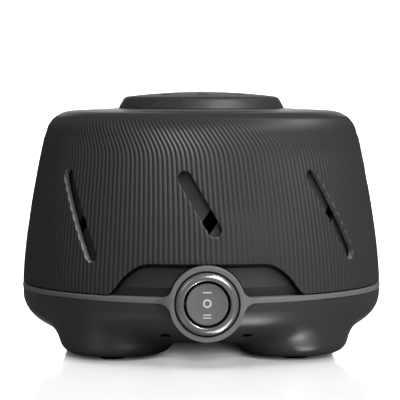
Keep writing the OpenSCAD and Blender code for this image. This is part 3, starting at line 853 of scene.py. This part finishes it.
def front_y(x):
    """The trim's front face, flat over the ring and easing into the band's own circle."""
    a, x0, x1 = abs(x), 12.9, 21.0
    y0, y1 = -73.96, -math.sqrt(BAND_R ** 2 - x1 ** 2)
    if a <= x0:
        return y0
    if a >= x1:
        return -math.sqrt(BAND_R ** 2 - a * a)
    t = (a - x0) / (x1 - x0)
    m1 = x1 / math.sqrt(BAND_R ** 2 - x1 ** 2) * (x1 - x0)
    return (2 * t ** 3 - 3 * t ** 2 + 1) * y0 + (3 * t ** 2 - 2 * t ** 3) * y1 + (t ** 3 - t ** 2) * m1


def make_trim():
    R, T = 0.42, 4.7
    xs = np.concatenate([np.linspace(0, 11, 23), np.linspace(11.2, 14.6, 35), np.linspace(14.7, 18.6, 27), np.linspace(18.9, 22.8, 14)])
    xs = np.concatenate([-xs[::-1], xs[1:]])
    cols = []
    drows = [0.0, 0.03, 0.1, 0.2, 0.31, 0.42, 0.66]
    for x in xs:
        zt, st = strip_top(x)
        zb, sb = strip_bottom(x)
        yf = front_y(x)
        a = abs(x)
        t = min(1.0, max(0.0, (a - 12.9) / (21.0 - 12.9)))
        t = t * t * (3 - 2 * t)
        rad = math.hypot(x, yf)
        dx, dy = -x / rad * t, 1 - t + (-yf / rad) * t
        dn = math.hypot(dx, dy)
        cols.append((x, yf, dx / dn, dy / dn, zb, zt, sb, st))
    start = math.degrees(math.asin(22.8 / BAND_R))
    for deg in np.linspace(start, 360 - start, 242)[1:-1]:
        a = math.radians(deg)
        x, y = BAND_R * math.sin(a), -BAND_R * math.cos(a)
        cols.append((x, y, -math.sin(a), math.cos(a), RIM_Z, RIM_Z + BAND_H, 0.0, 0.0))
    verts = []
    per = None
    for x, y, dx, dy, zb, zt, sb, st in cols:
        cb, ct = 1 / math.sqrt(1 + sb * sb), 1 / math.sqrt(1 + st * st)
        room = (zt - zb) * 0.48
        kb = min(1.0, room / (drows[-1] / cb))
        kt = min(1.0, room / (drows[-1] / ct))
        row = []
        for d in drows:
            q = R - math.sqrt(max(R * R - max(R - d, 0) ** 2, 0))
            row.append((zb + d / cb * kb, q))
        z0 = zb + drows[-1] / cb * kb
        z1 = zt - drows[-1] / ct * kt
        for t in np.linspace(0, 1, 8)[1:-1]:
            row.append((z0 + (z1 - z0) * t, 0.0))
        for d in drows[::-1]:
            q = R - math.sqrt(max(R * R - max(R - d, 0) ** 2, 0))
            row.append((zt - d / ct * kt, q))
        row += [(zt, T * 0.5), (zt, T), (zb, T), (zb, T * 0.5)]
        per = len(row)
        for z, q in row:
            verts.append((x + dx * q, y + dy * q, z))
    n = len(cols)
    faces = []
    for i in range(n):
        k = (i + 1) % n
        for j in range(per):
            m = (j + 1) % per
            faces.append((i * per + j, k * per + j, k * per + m, i * per + m))
    v = np.array(verts)
    ob = make("trim_ring_band", v, outward(v, faces), (M["trim"], M["black"]))
    boolean(ob, [barrel(14.2, -71, -63, SWITCH_Z, 128)], "UNION")
    lip = [(0.0, 60.0), (9.8, 60.0), (9.8, 72.2), (12.45, 72.2)]
    lip += [(12.45 + 0.35 * (1 - math.cos(a)), 73.96 - 0.35 * (1 - math.sin(a)) + 0.0) for a in np.linspace(0, math.pi / 2 * 0.8, 5)]
    lip += [(13.15, 74.4), (0.0, 74.4)]
    cutter = revolved(lip, 160, "-y", (0, 0, SWITCH_Z))
    boolean(ob, [cutter])
    # the step in the ring's bore round the bezel gets black faces: painted shade for the gap between ring and bezel
    gap_painted_shade = revolved([(11.6, 70.0), (12.45, 70.0), (12.45, 72.9), (11.6, 72.9)], 160, "-y", (0, 0, SWITCH_Z))
    boolean(ob, [gap_painted_shade], index=1)
    return finish_shade(ob, 40)


# ---------------------------------------------------------------- switch
def rocker_y(r):
    """Front face of the dished rocker as a distance in front of the axis."""
    r = np.asarray(r, float)
    return np.where(r < 5.0, 73.8 + 0.006 * r ** 2, 73.95 + 0.0 * r) + np.where(r >= 5.0, 0.10 * (r - 5.0) + 0.012 * (r - 5.0) ** 2, 0)


def make_switch():
    # bezel: a polished rounded ring that sits on the counterbore's floor
    arc = [(9.75 + 2.15 * math.cos(a), 73.55 + 1.85 * math.sin(a)) for a in np.linspace(0, math.pi / 2, 21)]
    arc += [(9.35 + 0.45 * math.cos(a), 74.95 + 0.45 * math.sin(a)) for a in np.linspace(math.pi / 2, math.pi, 9)] + [(8.9, 73.6)]
    prof = [(8.9, 69.0), (9.7, 69.0), (9.7, 72.3), (11.9, 72.3)] + arc
    v, f = revolved(prof, 192, "-y", (0, 0, SWITCH_Z))
    bezel = make("bezel_ring", v, outward(v, f), (M["bezel"],))
    hole = revolved([(0, -10.4), (1.08, -10.4), (1.08, 10.4), (0, 10.4)], 32)
    boolean(bezel, [(np.column_stack([hole[0][:, 2], hole[0][:, 0] - 71.0, hole[0][:, 1] + SWITCH_Z]), hole[1])])
    finish_shade(bezel, 40)
    # rocker
    rr = [0.0, 1.5, 3.0, 4.2, 5.2, 6.0, 6.8, 7.3]
    prof = [(r, float(rocker_y(r))) for r in rr]
    prof += [(7.62, 74.27), (7.85, 74.2), (8.0, 74.06), (8.07, 73.86), (8.1, 73.6), (8.1, 72.5), (7.9, 70.5), (7.2, 68.5), (0.0, 68.5)]
    v, f = revolved(prof, 160, "-y", (0, 0, SWITCH_Z))
    rocker = make("rocker_button", v, outward(v, f), (M["rocker"], M["black"]))
    # the rocker's side round its face is painted black: painted shade for the gap between rocker and bezel
    hub = np.zeros(3 * len(rocker.data.polygons))
    rocker.data.polygons.foreach_get("center", hub)
    hub = hub.reshape(-1, 3) / MM
    side = np.hypot(hub[:, 0], hub[:, 2] - SWITCH_Z) > 7.9
    rocker.data.polygons.foreach_set("material_index", np.where(side, 1, 0).tolist())
    boolean(rocker, [box((-2.5, -68.8, SWITCH_Z - 4), (2.5, -65.6, SWITCH_Z + 4))], "UNION")
    pin = revolved([(0, -9.4), (1, -9.4), (1, 9.4), (0, 9.4)], 32)
    pin = (np.column_stack([pin[0][:, 2], pin[0][:, 0] - 71.0, pin[0][:, 1] + SWITCH_Z]), pin[1])
    boolean(rocker, [pin], "UNION", index=1)
    finish_shade(rocker, 40)
    # printed marks
    parts = []

    def patch(loop_out, loop_in=None):
        """The points of one outline laid on the dished face. The second outline, loop_in, is not used."""
        grid = []
        for p in loop_out:
            r = math.hypot(p[0], p[1])
            grid.append((p[0], -float(rocker_y(r)), p[1] + SWITCH_Z))
        return grid

    def bar(zc, w, h):
        n = 12
        xs = np.linspace(-w / 2, w / 2, n)
        rows = [zc - h / 2, zc - h / 6, zc + h / 6, zc + h / 2]
        v, f = [], []
        for off in (0.035, -0.25):
            for z in rows:
                for x in xs:
                    drop = 0.02 if (z in (rows[0], rows[-1]) or x in (xs[0], xs[-1])) and off > 0 else 0.0
                    y = float(rocker_y(math.hypot(x, z)))
                    v.append((x, -(y + off - drop), z + SWITCH_Z))
        m = len(rows) * n
        for j in range(len(rows) - 1):
            for i in range(n - 1):
                a = j * n + i
                f.append((a, a + 1, a + n + 1, a + n))
                f.append((m + a, m + a + n, m + a + n + 1, m + a + 1))
        edge = [i for i in range(n)] + [j * n + n - 1 for j in range(1, len(rows))] + [(len(rows) - 1) * n + i for i in range(n - 2, -1, -1)] + [j * n for j in range(len(rows) - 2, 0, -1)]
        for a, b in zip(edge, edge[1:] + edge[:1]):
            f.append((a, m + a, m + b, b))
        return np.array(v), f

    def ring(zc, r0, r1):
        n = 56
        v, f = [], []
        prof = [(r0, 0.015), (r0 + 0.1, 0.035), (r1 - 0.1, 0.035), (r1, 0.015), (r1, -0.25), (r0, -0.25)]
        for r, off in prof:
            for i in range(n):
                a = 2 * math.pi * i / n
                x, z = r * math.cos(a), zc + r * math.sin(a)
                y = float(rocker_y(math.hypot(x, z)))
                v.append((x, -(y + off), z + SWITCH_Z))
        m = len(prof)
        for j in range(m):
            for i in range(n):
                k = (i + 1) % n
                f.append((j * n + i, j * n + k, ((j + 1) % m) * n + k, ((j + 1) % m) * n + i))
        return np.array(v), f

    parts = [bar(4.45, 3.2, 0.42), ring(0.3, 1.04, 1.6), bar(-4.0, 3.1, 0.36), bar(-5.1, 3.1, 0.36)]
    v, f = joined([(a, outward(a, b)) for a, b in parts])
    marks = finish_shade(make("rocker_marks", v, f, (M["mark"],)), 60)
    return bezel, rocker, marks


# ---------------------------------------------------------------- feet and gland
def make_feet():
    parts = []
    for sx in (-1, 1):
        for sy in (-1, 1):
            prof = rounded([(0, 0), (5, 0), (5, 2.5), (3.5, 2.5), (3.5, 6), (0, 6)], [0, 0.6, 0, 0, 0.3, 0], 4)
            parts.append(moved(revolved(prof, 64), (36 * sx, 36 * sy, 0)))
    v, f = joined([(a, outward(a, b)) for a, b in parts])
    return finish_shade(make("foot_pads", v, f, (M["rubber"],)), 35)


def make_gland():
    prof = [(3.1, 64.0), (6.2, 64.0), (6.2, 66.3), (4.6, 66.3), (4.6, 71.4), (6.4, 71.4), (6.4, 72.4)]
    prof += [(6.3, 72.75), (6.05, 73.3), (5.75, 74.0), (5.45, 74.75), (5.3, 75.05), (5.0, 75.3), (3.7, 75.4), (3.3, 75.25), (3.1, 74.9)]
    v, f = revolved([(r, h) for r, h in prof], 96, "y", (0, 0, 17))
    return finish_shade(make("gland_cord", v, outward(v, f), (M["rubber"],)), 35)


# ---------------------------------------------------------------- build
collar = make_collar()
housing = make_housing()
cap = make_cap()
base = make_base_shell()
trim = make_trim()
bezel, rocker, marks = make_switch()
feet = make_feet()
gland = make_gland()

for ob, body, node, slot in (
    (collar, "collar", "collar", "collar_plastic"),
    (housing, "base", "inner_housing", "housing_plastic"),
    (cap, "cap", "cap", "cap_plastic"),
    (base, "base", "base_shell", "base_plastic"),
    (trim, "base", "trim_band", "trim_plastic"),
    (bezel, "base", "switch_bezel", "bezel_gloss"),
    (rocker, "rocker", "rocker", "rocker_plastic"),
    (feet, "base", "rubber_feet", "rubber"),
    (gland, "base", "cord_gland", "rubber"),
):
    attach(ob, body)
    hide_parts(node)
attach(marks, "rocker")

CAD_LOOKS = {
    "cap_clip": "steel", "slip_ring": "felt", "switch_body": "black", "switch_terminals": "brass",
    "housing_screws": "steel", "motor_plate": "steel", "plate_grommets": "rubber", "plate_screws": "steel",
    "stator_core": "laminations", "coil_bobbin": "nylon", "coil_winding": "copper", "shading_loops": "copper",
    "lower_bracket": "steel", "upper_bracket": "steel", "bearings": "bronze", "motor_screws": "steel",
    "motor_spacers": "steel", "motor_nuts": "steel", "motor_leads": "wire", "wire_connector": "nylon",
    "shaft": "steel", "rotor_core": "laminations", "thrust_washers": "nylon", "fan_wheel": "fan",
}
for name, look in CAD_LOOKS.items():
    ob = NODES[name]
    if not ob.material_slots:
        ob.data.materials.append(M[look])
    for slot in ob.material_slots:
        slot.material = M[look]

# ---------------------------------------------------------------- floor, light, camera
def stage_floor():
    n = 96
    ring = [0.0, 0.1, 0.3, 1.0, 3.0, 10.0, 26.0]
    verts, faces = [(0, 0, 0)], []
    for r in ring[1:]:
        for i in range(n):
            a = 2 * math.pi * i / n
            verts.append((r * 1000 * math.cos(a), r * 1000 * math.sin(a), 0))
    for i in range(n):
        faces.append((0, 1 + i, 1 + (i + 1) % n))
    for j in range(len(ring) - 2):
        for i in range(n):
            k = (i + 1) % n
            faces.append((1 + j * n + i, 1 + (j + 1) * n + i, 1 + (j + 1) * n + k, 1 + j * n + k))
    mat = bpy.data.materials.new("floor_pale")
    nt, b = nodes_of(mat)
    f = noise(nt, coord(nt), 3, 2)
    near = ramp(nt, f, 0.2, 0.8, (0.88, 0.88, 0.88), (0.9, 0.9, 0.9))
    nt.links.new(remap(nt, f, 0.07, 0.09), b.inputs["Roughness"])
    away = nt.nodes.new("ShaderNodeVectorMath")
    away.operation = "LENGTH"
    nt.links.new(coord(nt), away.inputs[0])
    # it mirrors only round the machine, and turns matt and a little paler further out
    shine = nt.nodes.new("ShaderNodeMath")
    shine.operation = "MULTIPLY"
    nt.links.new(remap(nt, away.outputs["Value"], 0.0, 0.5, 0.030, 0.044), shine.inputs[0])
    nt.links.new(remap(nt, away.outputs["Value"], 1.0, 0.0, 0.25, 0.6), shine.inputs[1])
    nt.links.new(shine.outputs[0], b.inputs["Specular IOR Level"])
    pale = nt.nodes.new("ShaderNodeMix")
    pale.data_type = "RGBA"
    nt.links.new(remap(nt, away.outputs["Value"], 0.0, 1.0, 0.2, 0.5), pale.inputs["Factor"])
    nt.links.new(near, pale.inputs["A"])
    pale.inputs["B"].default_value = (1, 1, 1, 1)
    nt.links.new(pale.outputs["Result"], b.inputs["Base Color"])
    # glossy acrylic in two layers: the camera sees the pale one, the machine sees the dimmer one with a soft mirror image in it
    low = bpy.data.materials.new("floor_mirror")
    low.use_nodes = True
    nt = low.node_tree
    nt.nodes.clear()
    dim = nt.nodes.new("ShaderNodeBsdfDiffuse")
    dim.inputs["Color"].default_value = (FLOOR_BOUNCE, FLOOR_BOUNCE, FLOOR_BOUNCE, 1)
    mirror = nt.nodes.new("ShaderNodeBsdfGlossy")
    mirror.inputs["Color"].default_value = (1, 1, 1, 1)
    mirror.inputs["Roughness"].default_value = 0.14
    both = nt.nodes.new("ShaderNodeMixShader")
    both.inputs[0].default_value = FLOOR_MIRROR
    out = nt.nodes.new("ShaderNodeOutputMaterial")
    nt.links.new(dim.outputs[0], both.inputs[1])
    nt.links.new(mirror.outputs[0], both.inputs[2])
    nt.links.new(both.outputs[0], out.inputs[0])
    seen_floor = make("floor", verts, faces, (mat,))
    for kind in ("diffuse", "glossy", "transmission", "volume_scatter", "shadow"):
        setattr(seen_floor, "visible_" + kind, False)
    mirror_floor = make("floor_under", [(a, b, c - 0.02) for a, b, c in verts], faces, (low,))
    mirror_floor.visible_camera = False
    return seen_floor, mirror_floor


def place(ob, location, target):
    d = Vector(location) - Vector(target)
    ob.location = location
    ob.rotation_mode = "QUATERNION"
    ob.rotation_quaternion = d.to_track_quat("Z", "Y")
    return ob


def area(name, location, target, size, power, size_y=None):
    light = bpy.data.lights.new(name, "AREA")
    light.shape = "RECTANGLE"
    light.size = size
    light.size_y = size_y or size
    light.energy = power
    ob = bpy.data.objects.new(name, light)
    bpy.context.scene.collection.objects.link(ob)
    return place(ob, location, target)


FLOOR_BOUNCE = 0.12
FLOOR_MIRROR = 0.54
floor, floor_under = stage_floor()


def polar(az, dist, z):
    a = math.radians(az)
    return dist * math.sin(a), -dist * math.cos(a), z


# suns and a far backdrop for the floor alone: it stays white around the machine, dark under it, and mirrors it softly
only = bpy.data.collections.new("floor_only")
only.objects.link(floor)
apart = bpy.data.collections.new("all_but_seen_floor")
apart.objects.link(floor)
apart.collection_objects[0].light_linking.link_state = "EXCLUDE"


def floor_sun(name, az, el, energy, spread):
    data = bpy.data.lights.new(name, "SUN")
    data.energy = energy
    data.angle = math.radians(spread)
    data.cycles.max_bounces = 0
    ob = bpy.data.objects.new(name, data)
    bpy.context.scene.collection.objects.link(ob)
    ob.visible_glossy = False
    return place(ob, polar(az, math.cos(math.radians(el)), math.sin(math.radians(el))), (0.0, 0.0, 0.0))


sun_low = floor_sun("floor_sun_low", 4, 16, 9.8, 20)
sun_mid = floor_sun("floor_sun_mid", 0, 60, 1.43, 40)
sun_high = floor_sun("floor_sun_high", 0, 89, 1.36, 60)
backdrop = area("floor_backdrop", (0.0, 28.0, 9.0), (0.0, 0.0, 9.0), 80.0, 7290, 20.0)
backdrop.visible_camera = False
for o in (sun_low, sun_mid, sun_high, backdrop):
    o.light_linking.receiver_collection = only



def softbox(name, az, el, dist, w, h, power):
    e = math.radians(el)
    ob = area(name, polar(az, dist * math.cos(e), 0.06 + dist * math.sin(e)), (0, 0, 0.06), w, power, h)
    ob.light_linking.receiver_collection = apart
    return ob


softbox("key", 40, 50, 1.3, 0.30, 0.30, 12.0)
softbox("key_wide", 26, 32, 1.3, 0.95, 0.4, 9.0)
softbox("fill_left", -50, 30, 1.3, 0.6, 0.6, 1.1)
glow = area("backdrop_glow", (0.03, 1.5, 0.33), (0, 0, 0.1), 0.9, 2.4, 0.4)
glow.visible_camera = False

world = bpy.data.worlds.new("studio")
bpy.context.scene.world = world
world.use_nodes = True
wn = world.node_tree
wn.nodes.clear()
wo = wn.nodes.new("ShaderNodeOutputWorld")
seen = wn.nodes.new("ShaderNodeBackground")
seen.inputs["Color"].default_value = (1, 1, 1, 1)
seen.inputs["Strength"].default_value = 1.1
lit = wn.nodes.new("ShaderNodeBackground")
lit.inputs["Color"].default_value = (1, 1, 1, 1)
lit.inputs["Strength"].default_value = 0.14
mixw = wn.nodes.new("ShaderNodeMixShader")
path = wn.nodes.new("ShaderNodeLightPath")
wn.links.new(path.outputs["Is Camera Ray"], mixw.inputs[0])
wn.links.new(lit.outputs[0], mixw.inputs[1])
wn.links.new(seen.outputs[0], mixw.inputs[2])
wn.links.new(mixw.outputs[0], wo.inputs[0])

cam_data = bpy.data.cameras.new("camera")
cam = bpy.data.objects.new("camera", cam_data)
bpy.context.scene.collection.objects.link(cam)
DIST, HEIGHT, FOCAL, PITCH, AZ, AXIS_PX = 0.85282, 0.11103, 2085.4, 3.42596, 1.75, 201.3
cam_data.sensor_width = 36.0
cam_data.lens = 36.0 * FOCAL / 400.0
cam_data.clip_start, cam_data.clip_end = 0.05, 50
a = math.radians(AZ)
cam.location = (-DIST * math.sin(a), -DIST * math.cos(a), HEIGHT)
yaw = math.atan((AXIS_PX - 200.0) / FOCAL)
cam.rotation_mode = "XYZ"
cam.rotation_euler = (math.radians(90.0 - PITCH), 0.0, -a + yaw)
bpy.context.scene.camera = cam

view = bpy.context.scene.view_settings
view.view_transform = "Standard"
view.look = "None"
view.exposure = 0.0
view.gamma = 1.0
